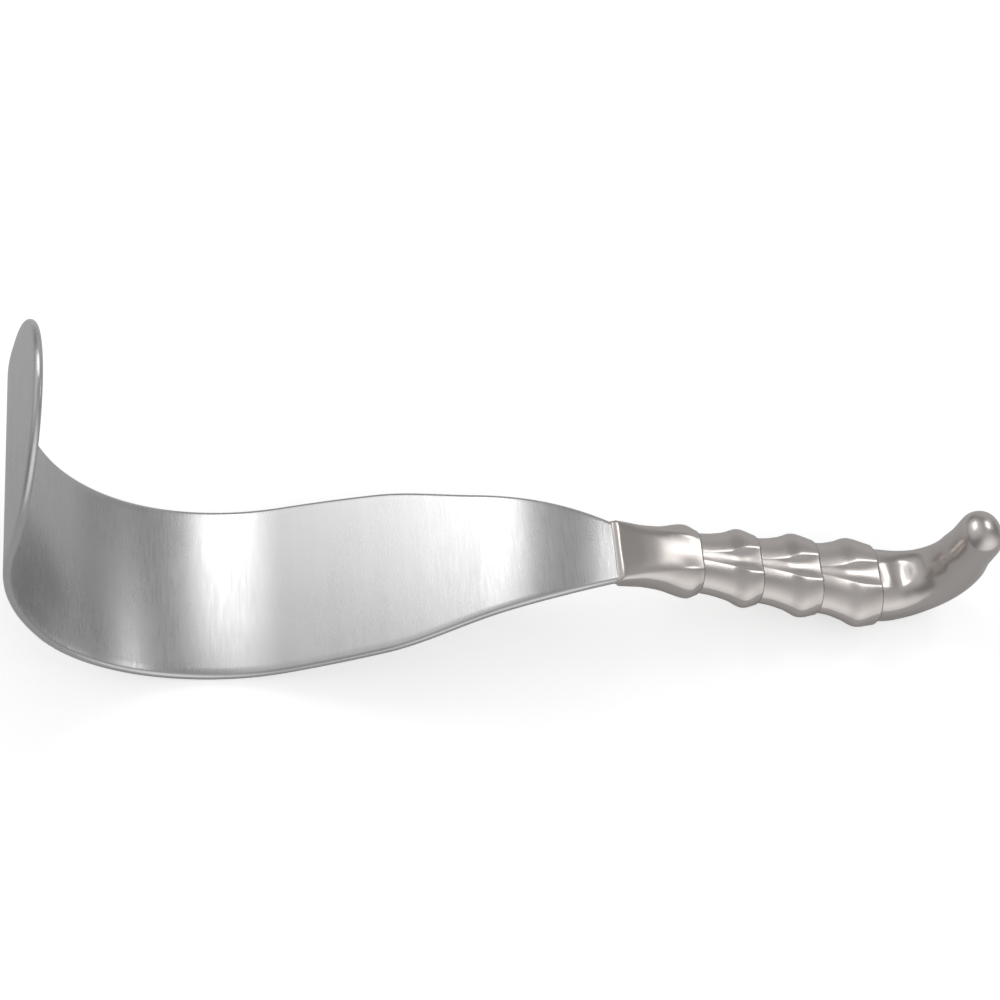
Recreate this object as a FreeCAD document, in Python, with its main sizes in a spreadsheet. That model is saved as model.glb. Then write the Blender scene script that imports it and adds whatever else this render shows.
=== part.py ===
import FreeCAD, Part
import math
import os
import Sketcher

# Handheld abdominal retractor: one piece of stainless steel.
# Construction frame, in millimetres: the handle's axis is X, with X = 0 at the shoulder where the
# thin band meets the handle and +X toward the hook. Z is up, on the side that the blade and the
# hook point to. XZ is the mirror plane. The finished piece is then laid down as it comes to rest.

SIZES = [
    # Sheet of the band and the blade
    ("sheet_thickness", 2.0),
    ("edge_break", 0.58),
    ("neck_turn_radius", 58.0),
    ("neck_turn", 33.0),
    ("slope_length", 48.0),
    ("belly_radius", 50.5),
    ("bend_radius", 42.6),
    ("bend_turn", 51.0),
    ("rise_radius", 68.0),
    ("rise_turn", 36.7),
    ("blade_straight", 3.2),
    # Widths along the sheet, from the shoulder to the rounded end of the blade
    ("neck_width", 16.8),
    ("turn_width", 26.6),
    ("slope_start_width", 33.8),
    ("slope_middle_width", 43.2),
    ("slope_end_width", 45.2),
    ("bottom_width", 45.8),
    ("bend_width", 48.2),
    ("blade_width", 52.0),
    # Neck: flat on both faces, it grows from the band up a short ramp and runs into the first lobe.
    # Each section of the handle has round corners, and a flat on each face between two low humps.
    ("ramp_length", 1.2),
    ("ramp_flat_width", 14.0),
    ("shoulder_thickness", 4.4),
    ("shoulder_round", 1.5),
    ("shoulder_flat_width", 12.4),
    ("neck_waist_place", 7.4),
    ("neck_waist_width", 15.3),
    ("neck_waist_thickness", 5.6),
    ("neck_waist_round", 1.8),
    ("neck_waist_flat_width", 10.6),
    ("neck_waist_flat_thickness", 5.2),
    # Lobes of the grip: each flares to a crest and ends in a rim, and each is wider than the last
    ("crest_place", 19.2),
    ("crest_pitch", 15.4),
    ("crest_pitch_growth", 0.3),
    ("crest_width", 17.8),
    ("crest_width_growth", 1.65),
    ("crest_thickness", 10.8),
    ("crest_round", 3.2),
    ("crest_flat_width", 6.8),
    ("crest_flat_thickness", 9.2),
    ("rim_reach", 3.0),
    ("rim_reach_growth", 0.85),
    ("rim_inset", 2.4),
    ("rim_thickness", 9.0),
    ("rim_round", 3.2),
    ("rim_flat_width", 6.8),
    ("rim_flat_thickness", 10.2),
    ("thickness_growth", 0.5),
    ("flare_lead", 4.2),
    ("flare_share", 0.45),
    ("lip_step", 0.6),
    ("waist_gap", 3.2),
    ("waist_inset", 2.7),
    ("waist_thickness", 9.2),
    ("waist_round", 3.2),
    ("waist_flat_width", 6.0),
    ("waist_flat_thickness", 8.4),
    # Hook at the end of the handle, which grows round towards its end
    ("hook_radius", 16.2),
    ("hook_turn", 97.0),
    ("hook_rise", 11.0),
    ("hook_start_width", 19.0),
    ("hook_start_thickness", 11.0),
    ("hook_start_round", 4.0),
    ("hook_start_flat_width", 6.6),
    ("hook_start_flat_thickness", 9.8),
    ("hook_end_width", 13.0),
    ("hook_end_thickness", 12.6),
    ("hook_end_round", 4.8),
    ("hook_end_flat_width", 2.4),
    ("hook_end_flat_thickness", 12.5),
    ("hook_tip_width", 12.6),
    ("hook_tip_thickness", 9.8),
    ("hook_tip_round", 4.7),
    ("hook_tip_flat_width", 1.8),
]

LOBES = 4
OVERLAP = 1.5
RAMP_ROUND_SHARE = 0.42
HOOK_STEPS = 3
SPLINE_DEGREE = 3
STEEPEST_TILT = 45
TILT_HALVINGS = 40
CONTACT_FINENESS = 0.05

DEGREE = "1 deg"
ALONG_BAND = "rotation(vector(0; 1; 0); -90 deg)"
ALONG_HANDLE = "rotation(vector(1; 1; 1); 120 deg)"
STRAIGHT_ON = "rotation(vector(0; 1; 0); 0 deg)"


def size(alias):
    return f"Sizes.{alias}"


def between(start, end, share):
    return f"({start} + ({end} - {start}) * {share})"


def make_sizes(doc):
    sheet = doc.addObject("Spreadsheet::Sheet", "Sizes")
    for row, (alias, value) in enumerate(SIZES, start=1):
        sheet.set(f"A{row}", alias)
        sheet.set(f"B{row}", str(value))
        sheet.setAlias(f"B{row}", alias)
    doc.recompute()


def place(item, base, rotation):
    """Place an object at base (x, y, z), each written in the sheet's sizes."""
    x, y, z = base
    item.setExpression("Placement", f"placement(vector({x}; {y}; {z}); {rotation})")


def follow(item, before, step, rotation):
    """Place an object one step on from another, seen in that one's own axes."""
    x, y, z = step
    move = f"placement(vector({x}; {y}; {z}); {rotation})"
    item.setExpression("Placement", f"{before.Name}.Placement * {move}")


def loft(doc, name, sections, ruled=False):
    body = doc.addObject("Part::Loft", name)
    body.Sections = sections
    body.Solid = True
    body.Ruled = ruled
    body.MaxDegree = SPLINE_DEGREE
    return body


def closed_sketch(doc, name, edges, tangent_after=()):
    """Sketch of edges in a ring, each joined to the next, smoothly after those that are listed.

    The edges are given near their places, and the constraints then move them to the sheet's sizes.
    """
    section = doc.addObject("Sketcher::SketchObject", name)
    section.addGeometry(edges, False)
    for index in range(len(edges)):
        kind = "Tangent" if index in tangent_after else "Coincident"
        section.addConstraint(Sketcher.Constraint(kind, index, 2, (index + 1) % len(edges), 1))
    return section


def bind(section, rows):
    """Add constraints that take their values, in millimetres, from the sheet."""
    for label, constraint, text in rows:
        section.renameConstraint(section.addConstraint(Sketcher.Constraint(*constraint)), label)
        section.setExpression(f"Constraints.{label}", f"({text}) * 1 mm")


def line(start, end):
    return Part.LineSegment(FreeCAD.Vector(*start, 0), FreeCAD.Vector(*end, 0))


def arc(centre, radius, first, last):
    """Arc about a centre, anticlockwise between two angles in degrees."""
    circle = Part.Circle(FreeCAD.Vector(*centre, 0), FreeCAD.Vector(0, 0, 1), radius)
    return Part.ArcOfCircle(circle, math.radians(first), math.radians(last))


def edge_rows(width):
    """Rows for bind that set the broken edge of the sheet, along a section's first two lines."""
    face = f"{size('sheet_thickness')} / 2"
    edge = f"{width} / 2"
    return (
        ("face", ("DistanceX", -1, 1, 0, 2, 1.0), face),
        ("face_reach", ("DistanceY", -1, 1, 0, 2, 10.0), f"{edge} - {size('edge_break')}"),
        ("edge_half", ("DistanceX", -1, 1, 1, 2, 0.4), f"{face} - {size('edge_break')}"),
        ("edge_reach", ("DistanceY", -1, 1, 1, 2, 10.6), edge),
    )


def band_section(doc, name, width):
    """Section of the sheet with broken edges: local X is its thickness and local Y its width."""
    corners = [(1, 10), (0.4, 10.6), (-0.4, 10.6), (-1, 10),
               (-1, -10), (-0.4, -10.6), (0.4, -10.6), (1, -10)]
    edges = [line(corners[index - 1], corner) for index, corner in enumerate(corners)]
    section = closed_sketch(doc, name, edges)
    section.addConstraint([
        Sketcher.Constraint("Symmetric", 0, 2, 3, 2, -2),
        Sketcher.Constraint("Symmetric", 1, 2, 2, 2, -2),
        Sketcher.Constraint("Symmetric", 0, 2, 7, 2, -1),
        Sketcher.Constraint("Symmetric", 1, 2, 6, 2, -1),
        Sketcher.Constraint("Symmetric", 2, 2, 5, 2, -1),
        Sketcher.Constraint("Symmetric", 3, 2, 4, 2, -1),
    ])
    bind(section, edge_rows(width))
    return section


def end_section(doc, name, width):
    """Half of the sheet's section, from its middle line out to its broken edge."""
    corners = [(1, 10), (0.4, 10.6), (-0.4, 10.6), (-1, 10), (-1, 0), (1, 0)]
    edges = [line(corners[index - 1], corner) for index, corner in enumerate(corners)]
    section = closed_sketch(doc, name, edges)
    section.addConstraint([
        Sketcher.Constraint("Symmetric", 0, 2, 3, 2, -2),
        Sketcher.Constraint("Symmetric", 1, 2, 2, 2, -2),
        Sketcher.Constraint("Symmetric", 4, 2, 5, 2, -2),
        Sketcher.Constraint("PointOnObject", 5, 2, -1),
        Sketcher.Constraint("Vertical", 0),
    ])
    bind(section, edge_rows(width))
    return section


def arc_steps(radius, turn, way, steps):
    """The repeated step along an arc of the sheet: way is 1 to rise and -1 to fall."""
    share = f"({size(turn)} / {steps} * {DEGREE})"
    rise = f"{way} * {size(radius)} * (1 - cos({share}))"
    run = f"{size(radius)} * sin({share})"
    return (rise, "0", run), f"rotation(vector(0; 1; 0); {way} * {share})"


def straight_step(run, steps):
    return ("0", "0", f"{size(run)} / {steps}"), STRAIGHT_ON


def make_band(doc):
    """The swan-necked band and the blade up to its round end, one loft through its sections."""
    neck_turn = arc_steps("neck_turn_radius", "neck_turn", -1, 2)
    slope = straight_step("slope_length", 2)
    belly = arc_steps("belly_radius", "neck_turn", 1, 2)
    bend = arc_steps("bend_radius", "bend_turn", 1, 3)
    rise = arc_steps("rise_radius", "rise_turn", 1, 2)
    blade = straight_step("blade_straight", 1)
    stretches = [
        (neck_turn, 1, "turn_width"),
        (neck_turn, 1, "slope_start_width"),
        (slope, 1, "slope_middle_width"),
        (slope, 1, "slope_end_width"),
        (belly, 2, "bottom_width"),
        (bend, 3, "bend_width"),
        (rise, 2, "blade_width"),
        (blade, 1, "blade_width"),
    ]
    tang = band_section(doc, "TangSection", f"({size('neck_width')} - {OVERLAP})")
    place(tang, (2 * OVERLAP, "0", "0"), ALONG_BAND)
    section = band_section(doc, "ShoulderSection", size("neck_width"))
    place(section, ("0", "0", "0"), ALONG_BAND)
    sections = [tang, section]
    start = size("neck_width")
    for (step, rotation), count, end_alias in stretches:
        end = size(end_alias)
        for index in range(1, count + 1):
            name = f"BandSection{len(sections)}"
            section = band_section(doc, name, between(start, end, f"{index} / {count}"))
            follow(section, sections[-1], step, rotation)
            sections.append(section)
        start = end
    return loft(doc, "Band", sections), sections[-1]


def round_end(doc, name, half_section, local_axis):
    """Round end: a half section turned by half a turn about its own straight edge."""
    end = doc.addObject("Part::Revolution", name)
    end.Source = half_section
    end.Solid = True
    end.Angle = 180.0
    end.setExpression("Base", f"{half_section.Name}.Placement.Base")
    end.setExpression("Axis", f"{half_section.Name}.Placement.Rotation * {local_axis}")
    return end


def make_blade_end(doc, last):
    section = end_section(doc, "BladeEndSection", size("blade_width"))
    section.setExpression("Placement", f"{last.Name}.Placement")
    return round_end(doc, "BladeEnd", section, "vector(1; 0; 0)")


def grip_rows(corner, sizes):
    """Rows for bind that set a handle section, whose upper right corner arc has this index."""
    width, thickness, corner_round, flat_width, flat_thickness = sizes
    return (
        ("flat_reach", ("DistanceX", -1, 1, 0, 1, 3.0), f"{flat_width} / 2"),
        ("flat_height", ("DistanceY", -1, 1, 0, 1, 4.0), f"{flat_thickness} / 2"),
        ("corner_reach", ("DistanceX", -1, 1, corner, 3, 6.0), f"{width} / 2 - {corner_round}"),
        ("corner_height", ("DistanceY", -1, 1, corner, 3, 2.0), f"{thickness} / 2 - {corner_round}"),
        ("corner_round", ("Radius", corner, 3.0), corner_round),
    )


def grip_section(doc, name, sizes):
    """Section of the handle, local X its width: round corners, and a flat between humps each way."""
    edges = [
        line((3, 4), (-3, 4)),
        line((-3, 4), (-6, 5)),
        arc((-6, 2), 3, 90, 180),
        line((-9, 2), (-9, -2)),
        arc((-6, -2), 3, 180, 270),
        line((-6, -5), (-3, -4)),
        line((-3, -4), (3, -4)),
        line((3, -4), (6, -5)),
        arc((6, -2), 3, 270, 360),
        line((9, -2), (9, 2)),
        arc((6, 2), 3, 0, 90),
        line((6, 5), (3, 4)),
    ]
    section = closed_sketch(doc, name, edges, tangent_after=(2, 3, 8, 9))
    section.addConstraint([
        Sketcher.Constraint("Vertical", 2, 1, 2, 3),
        Sketcher.Constraint("Vertical", 4, 2, 4, 3),
        Sketcher.Constraint("Vertical", 8, 1, 8, 3),
        Sketcher.Constraint("Vertical", 10, 2, 10, 3),
        Sketcher.Constraint("Equal", 2, 4),
        Sketcher.Constraint("Equal", 2, 8),
        Sketcher.Constraint("Equal", 2, 10),
        Sketcher.Constraint("Symmetric", 0, 1, 0, 2, -2),
        Sketcher.Constraint("Symmetric", 0, 1, 6, 1, -1, 1),
        Sketcher.Constraint("Symmetric", 0, 2, 6, 2, -1, 1),
        Sketcher.Constraint("Symmetric", 2, 3, 10, 3, -2),
        Sketcher.Constraint("Symmetric", 2, 3, 8, 3, -1, 1),
        Sketcher.Constraint("Symmetric", 10, 3, 4, 3, -1, 1),
    ])
    bind(section, grip_rows(10, sizes))
    return section


def half_grip_section(doc, name, sizes):
    """Upper half of a section of the handle, closed along its width axis."""
    edges = [
        line((3, 4), (-3, 4)),
        line((-3, 4), (-6, 5)),
        arc((-6, 2), 3, 90, 180),
        line((-9, 2), (-9, 0)),
        line((-9, 0), (9, 0)),
        line((9, 0), (9, 2)),
        arc((6, 2), 3, 0, 90),
        line((6, 5), (3, 4)),
    ]
    section = closed_sketch(doc, name, edges, tangent_after=(2, 5))
    section.addConstraint([
        Sketcher.Constraint("Vertical", 2, 1, 2, 3),
        Sketcher.Constraint("Vertical", 6, 2, 6, 3),
        Sketcher.Constraint("Equal", 2, 6),
        Sketcher.Constraint("Symmetric", 0, 1, 0, 2, -2),
        Sketcher.Constraint("Symmetric", 2, 3, 6, 3, -2),
        Sketcher.Constraint("PointOnObject", 4, 1, -1),
        Sketcher.Constraint("PointOnObject", 4, 2, -1),
        Sketcher.Constraint("Vertical", 3),
        Sketcher.Constraint("Vertical", 5),
    ])
    bind(section, grip_rows(6, sizes))
    return section


def handle_section(doc, name, place_x, sizes):
    section = grip_section(doc, name, sizes)
    place(section, (place_x, "0", "0"), ALONG_HANDLE)
    return section


def crest_x(lobe):
    growth = lobe * (lobe - 1) / 2
    pitch = f"{lobe} * {size('crest_pitch')} + {growth} * {size('crest_pitch_growth')}"
    return f"({size('crest_place')} + {pitch})"


def crest_width(lobe):
    return f"({size('crest_width')} + {lobe} * {size('crest_width_growth')})"


def rim_x(lobe):
    reach = f"{size('rim_reach')} + {lobe} * {size('rim_reach_growth')}"
    return f"({crest_x(lobe)} + {reach})"


def rim_width(lobe):
    return f"({crest_width(lobe)} - {size('rim_inset')})"


def grown(alias, lobe):
    return f"({size(alias)} + {lobe} * {size('thickness_growth')})"


def crest_sizes(lobe):
    return (crest_width(lobe), grown("crest_thickness", lobe), size("crest_round"),
            size("crest_flat_width"), grown("crest_flat_thickness", lobe))


def flare_section(doc, lobe, waist):
    """Section on the way from a waist to the crest, which keeps the hollow before it long."""
    sizes = [between(low, high, size("flare_share")) for low, high in zip(waist, crest_sizes(lobe))]
    return handle_section(doc, f"Flare{lobe}", f"({crest_x(lobe)} - {size('flare_lead')})", sizes)


def crest_and_rim(doc, lobe):
    rim = (rim_width(lobe), grown("rim_thickness", lobe), size("rim_round"),
           size("rim_flat_width"), grown("rim_flat_thickness", lobe))
    return [
        handle_section(doc, f"Crest{lobe}", crest_x(lobe), crest_sizes(lobe)),
        handle_section(doc, f"Rim{lobe}", rim_x(lobe), rim),
    ]


def make_neck(doc):
    """Ramp up from the band, and the neck that runs into the first lobe."""
    sheet = size("sheet_thickness")
    foot = (size("neck_width"), sheet, f"({RAMP_ROUND_SHARE} * {sheet})",
            size("ramp_flat_width"), sheet)
    shoulder = (size("neck_width"), size("shoulder_thickness"), size("shoulder_round"),
                size("shoulder_flat_width"), size("shoulder_thickness"))
    kinds = ("width", "thickness", "round", "flat_width", "flat_thickness")
    waist = [size(f"neck_waist_{kind}") for kind in kinds]
    ramp_foot = handle_section(doc, "RampFoot", "0", foot)
    ramp_head = handle_section(doc, "RampHead", size("ramp_length"), shoulder)
    neck_waist = handle_section(doc, "NeckWaist", size("neck_waist_place"), waist)
    ramp = loft(doc, "Ramp", [ramp_foot, ramp_head], ruled=True)
    sections = [ramp_head, neck_waist, flare_section(doc, 0, waist)]
    neck = loft(doc, "Neck", sections + crest_and_rim(doc, 0))
    return [ramp, neck]


def make_lobe(doc, lobe):
    """A lobe of the grip, which starts inside the rim before it."""
    before = lobe - 1
    start_width = f"({rim_width(before)} - {size('lip_step')})"
    waist_width = f"({crest_width(before)} - {size('waist_inset')})"
    rest = (grown("waist_thickness", before), size("waist_round"),
            size("waist_flat_width"), grown("waist_flat_thickness", before))
    waist = (waist_width, *rest)
    start_x = f"({rim_x(before)} - {OVERLAP})"
    waist_x = f"({rim_x(before)} + {size('waist_gap')})"
    sections = [
        handle_section(doc, f"Start{lobe}", start_x, (start_width, *rest)),
        handle_section(doc, f"Waist{lobe}", waist_x, waist),
        flare_section(doc, lobe, waist),
    ]
    return loft(doc, f"Lobe{lobe}", sections + crest_and_rim(doc, lobe))


def make_hook(doc):
    """Hook that starts inside the last rim, turns up to its round end."""
    kinds = ("width", "thickness", "round", "flat_width", "flat_thickness")
    start = [size(f"hook_start_{kind}") for kind in kinds]
    end = [size(f"hook_end_{kind}") for kind in kinds]
    end_of_grip = rim_x(LOBES - 1)
    sections = [
        handle_section(doc, "HookRoot", f"({end_of_grip} - {OVERLAP})", start),
        handle_section(doc, "HookStart", end_of_grip, start),
    ]
    share = f"({size('hook_turn')} / {HOOK_STEPS} * {DEGREE})"
    rise = f"{size('hook_radius')} * (1 - cos({share}))"
    run = f"{size('hook_radius')} * sin({share})"
    for index in range(1, HOOK_STEPS + 1):
        part = f"{index} / {HOOK_STEPS}"
        sizes = [between(first, last, part) for first, last in zip(start, end)]
        section = grip_section(doc, f"HookSection{index}", sizes)
        follow(section, sections[-1], ("0", rise, run), f"rotation(vector(1; 0; 0); -{share})")
        sections.append(section)
    tip_sizes = (size("hook_tip_width"), size("hook_tip_thickness"), size("hook_tip_round"),
                 size("hook_tip_flat_width"), size("hook_tip_thickness"))
    tip = grip_section(doc, "HookTip", tip_sizes)
    follow(tip, sections[-1], ("0", "0", size("hook_rise")), STRAIGHT_ON)
    sections.append(tip)
    half_tip = half_grip_section(doc, "HookEndSection", tip_sizes)
    half_tip.setExpression("Placement", f"{tip.Name}.Placement")
    end_body = round_end(doc, "HookEnd", half_tip, "vector(1; 0; 0)")
    return [loft(doc, "Hook", sections), end_body]


def points_of(item):
    return item.Shape.tessellate(CONTACT_FINENESS)[0]


def lowest(points, tilt):
    return min(point.z * math.cos(tilt) - point.x * math.sin(tilt) for point in points)


def resting_tilt(sheet_points, handle_points):
    """Angle at which the bend of the sheet and the handle touch the same level floor."""
    low, high = 0.0, math.radians(STEEPEST_TILT)
    for _ in range(TILT_HALVINGS):
        tilt = (low + high) / 2
        if lowest(sheet_points, tilt) < lowest(handle_points, tilt):
            low = tilt
        else:
            high = tilt
    return (low + high) / 2


def lay_down(item, sheet_parts, handle_parts):
    """Turn the piece to its resting tilt, with its lowest point on the floor and X centred."""
    sheet_points = [point for part in sheet_parts for point in points_of(part)]
    handle_points = [point for part in handle_parts for point in points_of(part)]
    tilt = resting_tilt(sheet_points, handle_points)
    points = sheet_points + handle_points
    run = [point.x * math.cos(tilt) + point.z * math.sin(tilt) for point in points]
    move = FreeCAD.Vector(-(min(run) + max(run)) / 2, 0, -lowest(points, tilt))
    turn = FreeCAD.Rotation(FreeCAD.Vector(0, 1, 0), math.degrees(tilt))
    item.Placement = FreeCAD.Placement(move, turn)
    print(f"resting tilt {math.degrees(tilt):.3f}, moved by {move.x:.3f}, {move.z:.3f}")


def check(doc, item):
    for each in doc.Objects:
        if "Invalid" in each.State or "Error" in each.State:
            raise RuntimeError(f"{each.Name}: {each.State}")
    shape = item.Shape
    if shape.isNull() or not shape.isValid() or len(shape.Solids) != 1:
        raise RuntimeError(f"{item.Label}: its shape is not one valid solid")
    box = shape.BoundBox
    print(f"{item.Label}: {box.XLength:.2f} x {box.YLength:.2f} x {box.ZLength:.2f} mm, "
          f"{shape.Volume / 1000:.2f} cm3, {len(shape.Faces)} faces")


def main():
    doc = FreeCAD.newDocument("Retractor")
    make_sizes(doc)
    band, last = make_band(doc)
    sheet_parts = [band, make_blade_end(doc, last)]
    lobes = [make_lobe(doc, lobe) for lobe in range(1, LOBES)]
    handle_parts = make_neck(doc) + lobes + make_hook(doc)
    retractor = doc.addObject("Part::MultiFuse", "Retractor")
    retractor.Label = "retractor"
    retractor.Shapes = sheet_parts + handle_parts
    retractor.Refine = False
    doc.recompute()
    lay_down(retractor, sheet_parts, handle_parts)
    doc.recompute()
    check(doc, retractor)
    os.makedirs("parts", exist_ok=True)
    retractor.Shape.exportStep("parts/retractor.step")


main()
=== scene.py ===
import math
import bpy
import bmesh
from mathutils import Matrix, Vector


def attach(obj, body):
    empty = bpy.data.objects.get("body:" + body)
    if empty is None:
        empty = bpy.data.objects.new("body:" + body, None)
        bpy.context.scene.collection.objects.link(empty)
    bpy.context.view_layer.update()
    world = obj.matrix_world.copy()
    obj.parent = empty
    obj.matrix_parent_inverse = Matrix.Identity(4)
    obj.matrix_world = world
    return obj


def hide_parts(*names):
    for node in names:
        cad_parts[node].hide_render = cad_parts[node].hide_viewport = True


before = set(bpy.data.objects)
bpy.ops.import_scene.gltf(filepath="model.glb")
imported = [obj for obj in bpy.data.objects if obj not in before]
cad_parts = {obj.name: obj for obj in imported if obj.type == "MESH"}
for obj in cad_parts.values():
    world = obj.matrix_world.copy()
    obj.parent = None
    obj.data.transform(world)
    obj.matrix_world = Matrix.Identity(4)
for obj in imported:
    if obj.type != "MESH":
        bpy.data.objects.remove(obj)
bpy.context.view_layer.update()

# Looks of the retractor: a smooth skin over the CAD solid, brushed steel, studio light and camera.
# The skin is worked out in the handle's own axes, in millimetres: X = 0 at the shoulder, +X toward
# the hook, Z up on the side that the blade and the hook point to. laid_down() then puts a point
# where the piece lies at rest, in metres.

# Where the handle's axes lie at rest
TILT = math.radians(13.144)
MOVE_X = 23.314
MOVE_Z = 22.262
MM = 0.001

# Sheet of the band and the blade
EDGE_RADIUS = 1.0
TANG = 2.0
TANG_NARROWER = 1.5
NECK_TURN_RADIUS = 58.0
NECK_TURN = math.radians(33.0)
SLOPE = 48.0
BELLY_RADIUS = 50.5
BEND_RADIUS = 42.6
BEND_TURN = math.radians(51.0)
RISE_RADIUS = 68.0
RISE_TURN = math.radians(36.7)
BLADE_STRAIGHT = 3.2
NECK_WIDTH = 16.8
BLADE_WIDTH = 52.0
# Widths at the shoulder, half way and at the end of the neck's turn, half way and at the end of the
# slope, and at the ends of the belly, the bend, the rise and the straight part of the blade
SHEET_WIDTHS = (NECK_WIDTH, 26.6, 33.8, 43.2, 45.2, 45.8, 48.2, BLADE_WIDTH, BLADE_WIDTH)

# Mesh of the sheet: depths of the rings on its round edge, rings on its face, steps along it
EDGE_RINGS = (0.0, 0.03, 0.12, 0.27, 0.47, 0.72, 1.0)
FACE_RINGS = 14
END_STEPS = 48
STATION = 1.2
BAND_UV = "along_and_across"

# Lobes of the grip, and the hook, as the CAD has them
LOBES = 4
CREST_PLACE = 19.2
CREST_PITCH = 15.4
CREST_PITCH_GROWTH = 0.3
CREST_WIDTH = 17.8
CREST_WIDTH_GROWTH = 1.65
RIM_REACH = 3.0
RIM_REACH_GROWTH = 0.85
THICKNESS_GROWTH = 0.5
HOOK_RADIUS = 16.2
HOOK_TURN = math.radians(97.0)
HOOK_RISE = 11.0
HOOK_ARC = HOOK_RADIUS * HOOK_TURN

# The skin's sections: rounder than the CAD's, and so a little wider for the same outline
ROUNDER = 0.85
SQUARENESS = 2.3
RIM_IN = 1.3
RIM_STEP = 0.2

# Floors of the scoops: their height at a rim, and how they rise toward it
RIM_FLOOR = 4.85
NECK_FLOOR = 4.8
PETAL_SLOPE = 0.17
NECK_SLOPE = 0.06
FLARE_LEAD = 4.2
FLARE_SLOPE = 0.12
FLARE_SHARE = 0.4

# How far the round form stands over the scoop's floor, and the scoop's half width
FLARE_OVER = 0.35
CREST_OVER = 0.75
RIM_OVER = 0.6
FLARE_SCOOP = 2.1
PETAL_SCOOPS = (3.2, 3.6)
NECK_SCOOPS = (4.5, 4.3)

# Sections of the neck: place, half width, half thickness, height of the scoop's floor, half width
# of the scoop, squareness
NECK_ROWS = (
    (0.0, 8.4, 1.05, 1.0, 7.6, 8.0),
    (0.25, 8.4, 1.2, 1.15, 7.6, 7.0),
    (1.1, 8.4, 2.3, 2.2, 7.5, 6.0),
    (1.5, 8.35, 2.5, 2.32, 7.4, 5.6),
    (4.0, 8.1, 3.1, 2.85, 6.9, 4.5),
    (7.4, 7.85, 3.8, 3.5, 6.3, 3.4),
    (12.0, 8.15, 4.55, 4.1, 5.6, 2.7),
)
# Sections of a waist: distance past the rim's step, narrower than the crest before it, round form
# over and scoop under the flare's floor, half width of the scoop
WAIST_ROWS = (
    (0.0, 1.75, 0.02, 0.10, 1.2),
    (3.0, 1.55, 0.08, 0.06, 1.5),
)
# Sections of the hook, as the neck's are, by distance from the last rim
HOOK_ROWS = (
    (RIM_STEP, 9.6, 5.3, 5.2, 3.0, 2.6),
    (3.0, 9.5, 5.5, 5.2, 3.4, 2.6),
    (8.0, 8.8, 5.8, 5.35, 3.6, 2.5),
    (11.0, 8.3, 6.0, 5.75, 3.2, 2.5),
    (13.5, 7.9, 6.05, 6.05, 2.2, 2.5),
    (HOOK_ARC, 6.6, 6.3, 6.3, 1.5, 2.35),
    (HOOK_ARC + HOOK_RISE * 0.55, 6.2, 5.45, 5.45, 1.5, 2.3),
    (HOOK_ARC + HOOK_RISE, 6.3, 5.4, 5.4, 1.5, 2.2),
)

# Mesh of the handle: points on a scoop and on a side, and steps along the grip, hook and tip
SCOOP_STEPS = 24
SIDE_STEPS = 52
GRIP_STEP = 0.4
HOOK_STEP = 0.5
TIP_STEPS = 14

# In metres: points this close become one, and edges this short go
MERGE = 1e-6
SLIVER = 1e-7

# Most of a noise's values lie between these two
NOISE_LOW = 0.3
NOISE_HIGH = 0.7
# Steel: size and strength of the soft unevenness that both surfaces share
CLOUD_SCALE = 38.0
CLOUD_SHADE = 0.03
CLOUD_ROUGHNESS = (-0.03, 0.04)
CLOUD_BUMP = 0.1
CLOUD_DEPTH = 0.0006
# Brush lines: how much they change the shade, the roughness and the slope of the surface
BRUSH_SHADE = 0.035
BRUSH_ROUGHNESS = 0.05
BRUSH_BUMP = 0.12
BRUSH_DEPTH = 0.00002
BROAD_BRUSH = 6

# Studio
WHITE = (1.0, 1.0, 1.0, 1.0)
FLOOR_COLOUR = (0.72, 0.72, 0.72, 1.0)
FLOOR_HALF = 3.0
FLOOR_DROP = 0.0002
FLOOR_LIFT = 0.58
ROOM_LEVEL = 0.25
PANEL_HEIGHT = 0.27
# Light panels over the piece: name, middle (x, y), size along x and y, brightness in reflections
PANELS = (
    ("band_panel", (-0.0865, 0.200), (0.137, 0.15), 2.3),
    ("slope_panel", (-0.245, 0.265), (0.160, 0.18), 0.50),
    ("grip_panel", (0.235, 0.145), (0.080, 0.09), 3.9),
    ("grip_fill", (0.355, 0.200), (0.150, 0.18), 0.50),
)
# Soft patches of the room: azimuth, elevation and spread in degrees, strength
ROOM_PATCHES = (
    (150, 40, 50, 0.4),
    (-60, 8, 75, 0.7),
    (-60, 60, 50, 0.2),
    (65, 0, 45, 0.3),
    (75, 75, 45, 0.1),
)

# The photo's camera, worked out in the handle's axes: its place, and its right, up and back vectors
CAMERA_PLACE = (-232.165, -266.319, 433.934)
CAMERA_RIGHT = (0.922016, -0.086383, 0.377392)
CAMERA_UP = (-0.121145, 0.861465, 0.493156)
CAMERA_BACK = (-0.367710, -0.500417, 0.783819)
FOCAL_PIXELS = 2307.74
IMAGE_PIXELS = 1000
SENSOR = 36.0
CLIP_START = 0.01


def turned(vector):
    """A direction in the handle's axes, turned as the piece lies at rest."""
    x, y, z = vector
    return x * math.cos(TILT) + z * math.sin(TILT), y, -x * math.sin(TILT) + z * math.cos(TILT)


def laid_down(point):
    """A point in the handle's axes, in millimetres, where it lies at rest, in metres."""
    x, y, z = turned(point)
    return Vector((x + MOVE_X, y, z + MOVE_Z)) * MM


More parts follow.
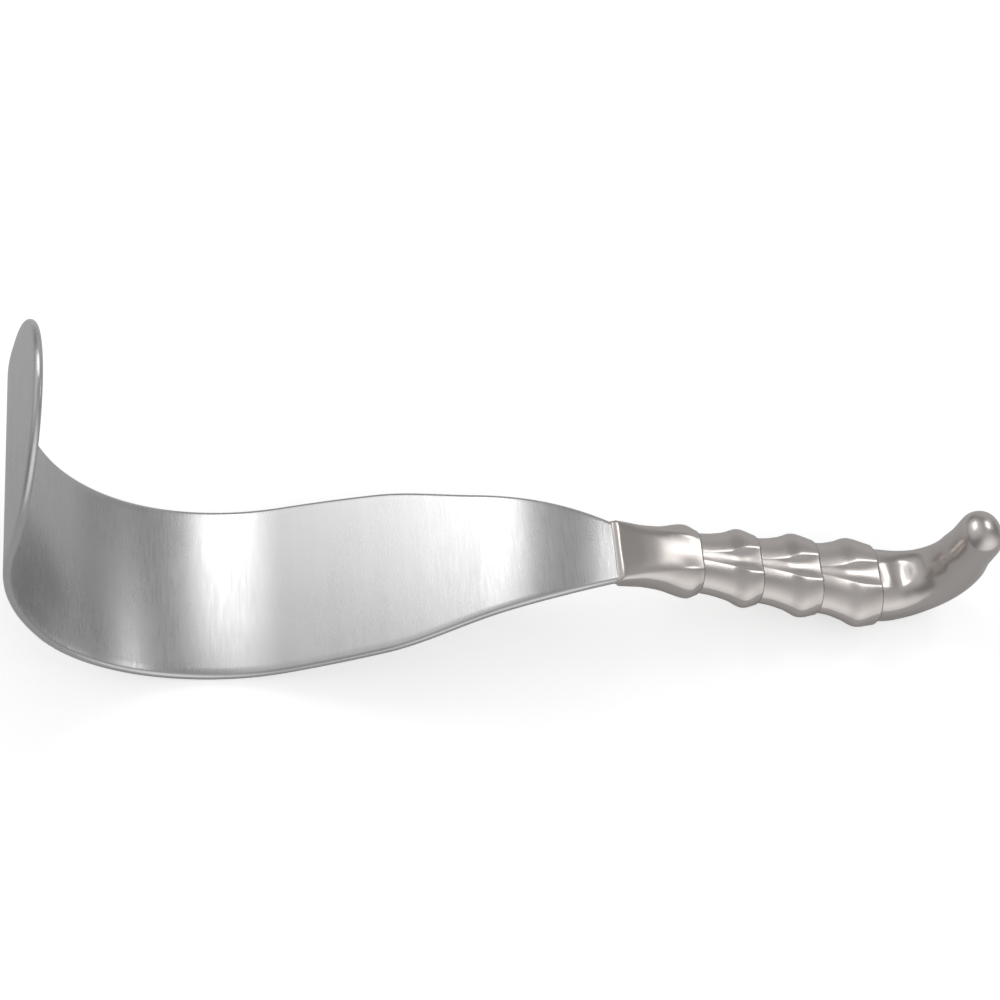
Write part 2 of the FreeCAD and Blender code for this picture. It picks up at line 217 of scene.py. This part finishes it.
def along(table, place):
    """Value at a place from (place, value) rows, smooth through every row."""
    places = [row[0] for row in table]
    last = len(table) - 1
    if place <= places[0]:
        return table[0][1]
    if place >= places[last]:
        return table[last][1]
    index = max(i for i in range(last) if places[i] <= place)

    def slope(i):
        if i in (0, last):
            j = min(max(i, 1), last)
            return (table[j][1] - table[j - 1][1]) / (places[j] - places[j - 1])
        before = (table[i][1] - table[i - 1][1]) / (places[i] - places[i - 1])
        after = (table[i + 1][1] - table[i][1]) / (places[i + 1] - places[i])
        if before * after <= 0:
            return 0.0
        return 2 * before * after / (before + after)

    span = places[index + 1] - places[index]
    t = (place - places[index]) / span
    start, end = table[index][1], table[index + 1][1]
    bulge = t * (1 - t) * ((1 - t) * (slope(index) * span - (end - start))
                           - t * (slope(index + 1) * span - (end - start)))
    return start + (end - start) * t + bulge


def steps_between(places, step):
    """Places between the rows' own places, no further apart than step."""
    out = []
    for start, end in zip(places, places[1:]):
        count = max(1, math.ceil((end - start) / step))
        out += [start + (end - start) * i / count for i in range(count)]
    return out + [places[-1]]


def new_piece(name, bm, material):
    mesh = bpy.data.meshes.new(name)
    bm.to_mesh(mesh)
    bm.free()
    piece = bpy.data.objects.new(name, mesh)
    bpy.context.scene.collection.objects.link(piece)
    mesh.materials.append(material)
    for polygon in mesh.polygons:
        polygon.use_smooth = True
    return piece


def clean(bm):
    """Join the seams, drop slivers and turn every face outward."""
    bmesh.ops.remove_doubles(bm, verts=bm.verts, dist=MERGE)
    bmesh.ops.dissolve_degenerate(bm, edges=bm.edges, dist=SLIVER)
    bmesh.ops.recalc_face_normals(bm, faces=bm.faces)


# The band and the blade

def runs():
    """Stretches of the sheet's centre line: (length, turn), a turn above zero bends it up."""
    return (
        (NECK_TURN_RADIUS * NECK_TURN, -NECK_TURN),
        (SLOPE, 0.0),
        (BELLY_RADIUS * NECK_TURN, NECK_TURN),
        (BEND_RADIUS * BEND_TURN, BEND_TURN),
        (RISE_RADIUS * RISE_TURN, RISE_TURN),
        (BLADE_STRAIGHT, 0.0),
    )


def run_ends():
    ends = [0.0]
    for length, _ in runs():
        ends.append(ends[-1] + length)
    return ends


def width_rows():
    """Widths along the sheet, from the tang to where its round end starts."""
    ends = run_ends()
    places = (0.0, ends[1] / 2, ends[1], ends[1] + SLOPE / 2, *ends[2:])
    return ((-TANG, NECK_WIDTH - TANG_NARROWER), *zip(places, SHEET_WIDTHS))


def centre_line(distance):
    """Point (x, z) of the sheet's middle and its heading, at a distance from the shoulder."""
    x, z, heading, left = 0.0, 0.0, 0.0, distance
    for length, turn in runs():
        run = min(left, length) if left > 0 else left
        if turn == 0 or left <= 0:
            x -= run * math.cos(heading)
            z += run * math.sin(heading)
        else:
            radius = length / turn
            next_heading = heading + run / radius
            x -= radius * (math.sin(next_heading) - math.sin(heading))
            z += radius * (math.cos(heading) - math.cos(next_heading))
            heading = next_heading
        left -= run
        if left <= 0:
            return x, z, heading
    return x - left * math.cos(heading), z + left * math.sin(heading), heading


def sheet_point(distance, y, half):
    """Point on a face of the sheet, half above or below its middle."""
    x, z, heading = centre_line(distance)
    return laid_down((x + half * math.sin(heading), y, z + half * math.cos(heading)))


def edge_half(ring):
    """Half of the sheet's thickness at a ring: it grows over the rings of the round edge."""
    depth = EDGE_RINGS[ring] if ring < len(EDGE_RINGS) else EDGE_RADIUS
    return math.sqrt(max(0.0, EDGE_RADIUS ** 2 - (EDGE_RADIUS - depth) ** 2))


def ring_offset(half_width, ring):
    """Distance from the middle line to a ring: rings crowd at the round edge."""
    if ring < len(EDGE_RINGS):
        return half_width - EDGE_RINGS[ring]
    inner = ring - len(EDGE_RINGS) + 1
    return (half_width - EDGE_RINGS[-1]) * (1 - inner / FACE_RINGS)


def sheet_path():
    """Steps once round the sheet: up one side, round the end of the blade, down the other side."""
    length = run_ends()[-1]
    count = int((length + TANG) / STATION)
    stations = [-TANG + (length + TANG) * i / count for i in range(count + 1)]
    path = [(place, 1.0, 0.0) for place in stations]
    for i in range(1, END_STEPS):
        angle = math.pi * i / END_STEPS
        path.append((length, math.cos(angle), math.sin(angle)))
    return path + [(place, -1.0, 0.0) for place in reversed(stations)]


def add_sheet_face(bm, path, widths, face, places):
    """Upper (1) or lower (-1) face of the sheet. places keeps each point's (along, across)."""
    rows = []
    for ring in range(len(EDGE_RINGS) + FACE_RINGS):
        row = []
        for (place, side, reach), half_width in zip(path, widths):
            offset = ring_offset(half_width, ring)
            here = (place + offset * reach, offset * side)
            vertex = bm.verts.new(sheet_point(*here, face * edge_half(ring)))
            places[vertex] = here
            row.append(vertex)
        rows.append(row)
    for outer, inner in zip(rows, rows[1:]):
        for i in range(len(path) - 1):
            corners = [outer[i], outer[i + 1], inner[i + 1], inner[i]]
            bm.faces.new(corners if face > 0 else corners[::-1])


def make_sheet(material):
    bm = bmesh.new()
    path = sheet_path()
    table = width_rows()
    widths = [along(table, step[0]) / 2 for step in path]
    places = {}
    band_uv = bm.loops.layers.uv.new(BAND_UV)
    for face in (1, -1):
        add_sheet_face(bm, path, widths, face, places)
    for face in bm.faces:
        for loop in face.loops:
            loop[band_uv].uv = places[loop.vert]
    clean(bm)
    return new_piece("band_and_blade", bm, material)


# The grip and the hook

def crest_x(lobe):
    return CREST_PLACE + lobe * CREST_PITCH + lobe * (lobe - 1) / 2 * CREST_PITCH_GROWTH


def rim_x(lobe):
    return crest_x(lobe) + RIM_REACH + lobe * RIM_REACH_GROWTH


def crest_half(lobe):
    return (CREST_WIDTH + lobe * CREST_WIDTH_GROWTH) / 2 + ROUNDER


def waist_rows(lobe, flare_floor):
    """Sections of a lobe's waist, from just past the rim before it to where it flares."""
    before = crest_half(lobe - 1)
    start = rim_x(lobe - 1) + RIM_STEP
    rows = []
    for lead, narrower, over, under, scoop in WAIST_ROWS:
        rows.append((start + lead, before - narrower, flare_floor + over, flare_floor - under,
                     scoop, SQUARENESS))
    waist_half = rows[-1][1]
    flare_half = waist_half + FLARE_SHARE * (crest_half(lobe) - waist_half)
    rows.append((crest_x(lobe) - FLARE_LEAD, flare_half, flare_floor + FLARE_OVER, flare_floor,
                 FLARE_SCOOP, SQUARENESS))
    return rows


def grip_tables():
    """Tables of sections, one for the neck with its lobe and one for each lobe after it.

    A row has the neck's columns. A scoop is the hollow that a finger or thumb finds on the two
    flat sides.
    """
    tables = []
    for lobe in range(LOBES):
        edge = rim_x(lobe)
        half = crest_half(lobe)
        rim_floor = RIM_FLOOR + lobe * THICKNESS_GROWTH / 2 if lobe else NECK_FLOOR
        slope = PETAL_SLOPE if lobe else NECK_SLOPE
        crest_scoop, rim_scoop = PETAL_SCOOPS if lobe else NECK_SCOOPS
        crest_floor = rim_floor - (edge - crest_x(lobe)) * slope
        flare_floor = crest_floor - FLARE_LEAD * FLARE_SLOPE
        rows = waist_rows(lobe, flare_floor) if lobe else list(NECK_ROWS)
        rows.append((crest_x(lobe), half, crest_floor + CREST_OVER, crest_floor, crest_scoop, SQUARENESS))
        rows.append((edge, half - RIM_IN, rim_floor + RIM_OVER, rim_floor, rim_scoop, SQUARENESS))
        tables.append(rows)
    return tables


def sizes_at(rows, place):
    return tuple(along([(row[0], row[column]) for row in rows], place) for column in range(1, 6))


def ring_points(sizes):
    """Points once round a section, (across, up): a rounded box with a crisp scoop above and below."""
    half_width, half_thickness, scoop_floor, scoop_half, squareness = sizes
    turn = math.acos((scoop_half / half_width) ** (squareness / 2))
    half_ring = []
    for i in range(SCOOP_STEPS):
        y = scoop_half * (1 - 2 * i / SCOOP_STEPS)
        z = half_thickness * (1 - (abs(y) / half_width) ** squareness) ** (1 / squareness)
        half_ring.append((y, z - (half_thickness - scoop_floor) * (1 - (y / scoop_half) ** 2)))
    for i in range(SIDE_STEPS):
        angle = turn * (1 - 2 * i / SIDE_STEPS)
        y = half_width * math.cos(angle) ** (2 / squareness)
        z = half_thickness * math.copysign(abs(math.sin(angle)) ** (2 / squareness), angle)
        half_ring.append((-y, z))
    return half_ring + [(-y, -z) for y, z in half_ring]


def hook_line(distance):
    """Point (x, z) of the hook's middle and its heading, at a distance past the last rim."""
    angle = min(distance, HOOK_ARC) / HOOK_RADIUS
    x = rim_x(LOBES - 1) + HOOK_RADIUS * math.sin(angle)
    z = HOOK_RADIUS * (1 - math.cos(angle))
    past = max(0.0, distance - HOOK_ARC)
    return x + past * math.cos(angle), z + past * math.sin(angle), angle


def hook_ring(distance, sizes, fold=0.0):
    """Section across the hook. A fold swings its two halves forward, to close the round tip."""
    x, z, angle = hook_line(distance)
    ring = []
    for y, height in ring_points(sizes):
        ahead = abs(height) * math.sin(fold)
        up = height * math.cos(fold)
        ring.append(Vector((x - up * math.sin(angle) + ahead * math.cos(angle), y,
                            z + up * math.cos(angle) + ahead * math.sin(angle))))
    return ring


def softened(ring):
    """The same ring with its creases evened out a little."""
    count = len(ring)
    return [(ring[i - 1] + 2 * ring[i] + ring[(i + 1) % count]) / 4 for i in range(count)]


def handle_rings():
    """All sections from the shoulder to the tip of the hook."""
    rings = []
    for rows in grip_tables():
        for place in steps_between([row[0] for row in rows], GRIP_STEP):
            rings.append([Vector((place, y, z)) for y, z in ring_points(sizes_at(rows, place))])
    for distance in steps_between([row[0] for row in HOOK_ROWS], HOOK_STEP):
        rings.append(hook_ring(distance, sizes_at(HOOK_ROWS, distance)))
    end, *end_sizes = HOOK_ROWS[-1]
    for i in range(1, TIP_STEPS + 1):
        rings.append(hook_ring(end, end_sizes, math.pi / 2 * i / TIP_STEPS))
    return [softened(ring) for ring in rings]


def make_handle(material):
    bm = bmesh.new()
    rows = [[bm.verts.new(laid_down(point)) for point in ring] for ring in handle_rings()]
    for near, far in zip(rows, rows[1:]):
        for i in range(len(near)):
            j = (i + 1) % len(near)
            bm.faces.new((near[i], near[j], far[j], far[i]))
    bm.faces.new(rows[0])
    clean(bm)
    return new_piece("grip_and_hook", bm, material)


# Materials

class Nodes:
    """Short way to build a node tree: make a node, set its inputs by name, join sockets."""

    def __init__(self, tree):
        self.tree = tree
        tree.nodes.clear()

    def add(self, kind, settings=(), **inputs):
        node = self.tree.nodes.new(kind)
        for name, value in settings:
            setattr(node, name, value)
        for name, value in inputs.items():
            self.put(node, name.replace("_", " "), value)
        return node

    def put(self, node, name, value):
        """Give an input, by its name or number, a value or the socket that feeds it."""
        socket = node.inputs[name]
        if isinstance(value, bpy.types.NodeSocket):
            self.tree.links.new(value, socket)
        else:
            socket.default_value = value

    def math(self, operation, first, second):
        node = self.add("ShaderNodeMath", [("operation", operation)])
        self.put(node, 0, first)
        self.put(node, 1, second)
        return node.outputs[0]

    def noise(self, vector, scale, detail):
        return self.add("ShaderNodeTexNoise", Vector=vector, Scale=scale, Detail=detail).outputs["Fac"]

    def spread(self, value, low, high):
        """Noise spread over the range from low to high."""
        node = self.add("ShaderNodeMapRange", Value=value, From_Min=NOISE_LOW, From_Max=NOISE_HIGH,
                        To_Min=low, To_Max=high)
        return node.outputs["Result"]

    def stretched(self, vector, scale):
        return self.add("ShaderNodeMapping", Vector=vector, Scale=scale).outputs["Vector"]

    def finish(self, kind, shader):
        """Feed the tree's output node."""
        self.put(self.add(kind), "Surface", shader.outputs[0])


def new_material(name):
    material = bpy.data.materials.new(name)
    material.use_nodes = True
    return material, Nodes(material.node_tree)


def tinted(nodes, tint, shade):
    """The tint, made lighter or darker by a shade above or below zero."""
    level = nodes.math("ADD", shade, 1.0)
    grey = nodes.add("ShaderNodeCombineColor", Red=level, Green=level, Blue=level)
    colour = nodes.add("ShaderNodeMix", [("data_type", "RGBA"), ("blend_type", "MULTIPLY")],
                       Factor=1.0, A=(*tint, 1.0), B=grey.outputs["Color"])
    return colour.outputs["Result"]


def steel(name, tint, roughness, brush, grain_scale, anisotropy, grain):
    """Satin stainless steel with fine brush lines: brush stretches the noise, grain is its depth."""
    material, nodes = new_material(name)
    place = nodes.add("ShaderNodeTexCoord").outputs["Object"]
    brushed = nodes.stretched(place, brush)
    lines = nodes.noise(brushed, grain_scale, detail=1.0)
    broad = nodes.noise(brushed, grain_scale / BROAD_BRUSH, detail=2.0)
    cloud = nodes.noise(place, CLOUD_SCALE, detail=3.0)
    shade = nodes.math("ADD", nodes.spread(broad, -BRUSH_SHADE * grain, BRUSH_SHADE * grain),
                       nodes.spread(cloud, -CLOUD_SHADE, CLOUD_SHADE))
    rough = nodes.math("ADD", nodes.spread(lines, -BRUSH_ROUGHNESS * grain, BRUSH_ROUGHNESS * grain),
                       roughness)
    rough = nodes.math("ADD", rough, nodes.spread(cloud, *CLOUD_ROUGHNESS))
    fine = nodes.add("ShaderNodeBump", Height=lines, Strength=BRUSH_BUMP * grain, Distance=BRUSH_DEPTH)
    wave = nodes.add("ShaderNodeBump", Height=cloud, Strength=CLOUD_BUMP, Distance=CLOUD_DEPTH,
                     Normal=fine.outputs["Normal"])
    shader = nodes.add("ShaderNodeBsdfPrincipled", Base_Color=tinted(nodes, tint, shade),
                       Roughness=rough, Metallic=1.0, Normal=wave.outputs["Normal"])
    if anisotropy:
        tangent = nodes.add("ShaderNodeTangent", [("direction_type", "UV_MAP"), ("uv_map", BAND_UV)])
        nodes.put(shader, "Anisotropic", anisotropy)
        nodes.put(shader, "Tangent", tangent.outputs["Tangent"])
    nodes.finish("ShaderNodeOutputMaterial", shader)
    return material


def floor_material():
    """Pale matt floor, which the camera sees as white paper with the shadow on it."""
    material, nodes = new_material("pale_floor")
    matt = nodes.add("ShaderNodeBsdfDiffuse", Color=FLOOR_COLOUR)
    rays = nodes.add("ShaderNodeLightPath")
    lift = nodes.math("MULTIPLY", rays.outputs["Is Camera Ray"], FLOOR_LIFT)
    shine = nodes.add("ShaderNodeEmission", Strength=lift)
    both = nodes.add("ShaderNodeAddShader")
    nodes.put(both, 0, matt.outputs[0])
    nodes.put(both, 1, shine.outputs[0])
    nodes.finish("ShaderNodeOutputMaterial", both)
    return material


# Studio

def make_floor():
    bm = bmesh.new()
    bmesh.ops.create_grid(bm, x_segments=1, y_segments=1, size=FLOOR_HALF)
    floor = new_piece("floor", bm, floor_material())
    floor.location.z = -FLOOR_DROP


def make_panel(name, place, size, radiance):
    """Area light panel that faces down, over the object, with this brightness in reflections."""
    light = bpy.data.lights.new(name, "AREA")
    light.shape = "RECTANGLE"
    light.size, light.size_y = size
    light.energy = radiance * math.pi * size[0] * size[1]
    lamp = bpy.data.objects.new(name, light)
    lamp.location = (*place, PANEL_HEIGHT)
    bpy.context.scene.collection.objects.link(lamp)


def glow(nodes, direction, azimuth, elevation, spread, strength):
    """Soft patch of light on the room's wall: a direction and a spread in degrees."""
    az, el = math.radians(azimuth), math.radians(elevation)
    toward = (math.cos(el) * math.cos(az), math.cos(el) * math.sin(az), math.sin(el))
    dot = nodes.add("ShaderNodeVectorMath", [("operation", "DOT_PRODUCT")])
    nodes.put(dot, 0, direction)
    nodes.put(dot, 1, toward)
    patch = nodes.add("ShaderNodeMapRange", [("interpolation_type", "SMOOTHSTEP")],
                      Value=dot.outputs["Value"], From_Min=math.cos(math.radians(spread)), From_Max=1.0,
                      To_Min=0.0, To_Max=strength)
    return patch.outputs["Result"]


def make_world():
    """White to the camera, and a soft grey room for light and reflections."""
    world = bpy.data.worlds.new("studio")
    bpy.context.scene.world = world
    world.use_nodes = True
    nodes = Nodes(world.node_tree)
    direction = nodes.add("ShaderNodeTexCoord").outputs["Generated"]
    level = ROOM_LEVEL
    for patch in ROOM_PATCHES:
        level = nodes.math("ADD", level, glow(nodes, direction, *patch))
    room = nodes.add("ShaderNodeBackground", Color=WHITE, Strength=level)
    white = nodes.add("ShaderNodeBackground", Color=WHITE, Strength=1.0)
    rays = nodes.add("ShaderNodeLightPath")
    mix = nodes.add("ShaderNodeMixShader")
    nodes.put(mix, 0, rays.outputs["Is Camera Ray"])
    nodes.put(mix, 1, room.outputs[0])
    nodes.put(mix, 2, white.outputs[0])
    nodes.finish("ShaderNodeOutputWorld", mix)


def make_camera():
    camera = bpy.data.cameras.new("camera")
    camera.sensor_width = SENSOR
    camera.lens = FOCAL_PIXELS * SENSOR / IMAGE_PIXELS
    camera.clip_start = CLIP_START
    holder = bpy.data.objects.new("camera", camera)
    turn = Matrix([turned(axis) for axis in (CAMERA_RIGHT, CAMERA_UP, CAMERA_BACK)]).transposed()
    holder.matrix_world = Matrix.Translation(laid_down(CAMERA_PLACE)) @ turn.to_4x4()
    bpy.context.scene.collection.objects.link(holder)
    bpy.context.scene.camera = holder


def make_object():
    band_steel = steel("band_steel", tint=(0.60, 0.60, 0.605), roughness=0.28, brush=(36.0, 2.5, 36.0),
                       grain_scale=60.0, anisotropy=0.5, grain=0.5)
    grip_steel = steel("grip_steel", tint=(0.625, 0.585, 0.56), roughness=0.24, brush=(20.0, 40.0, 40.0),
                       grain_scale=25.0, anisotropy=0.0, grain=0.1)
    for piece in (make_sheet(band_steel), make_handle(grip_steel)):
        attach(piece, "root")
        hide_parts("retractor")


def main():
    bpy.context.scene.view_settings.view_transform = "Standard"
    make_object()
    make_floor()
    make_world()
    for panel in PANELS:
        make_panel(*panel)
    make_camera()
    bpy.context.view_layer.update()


main()
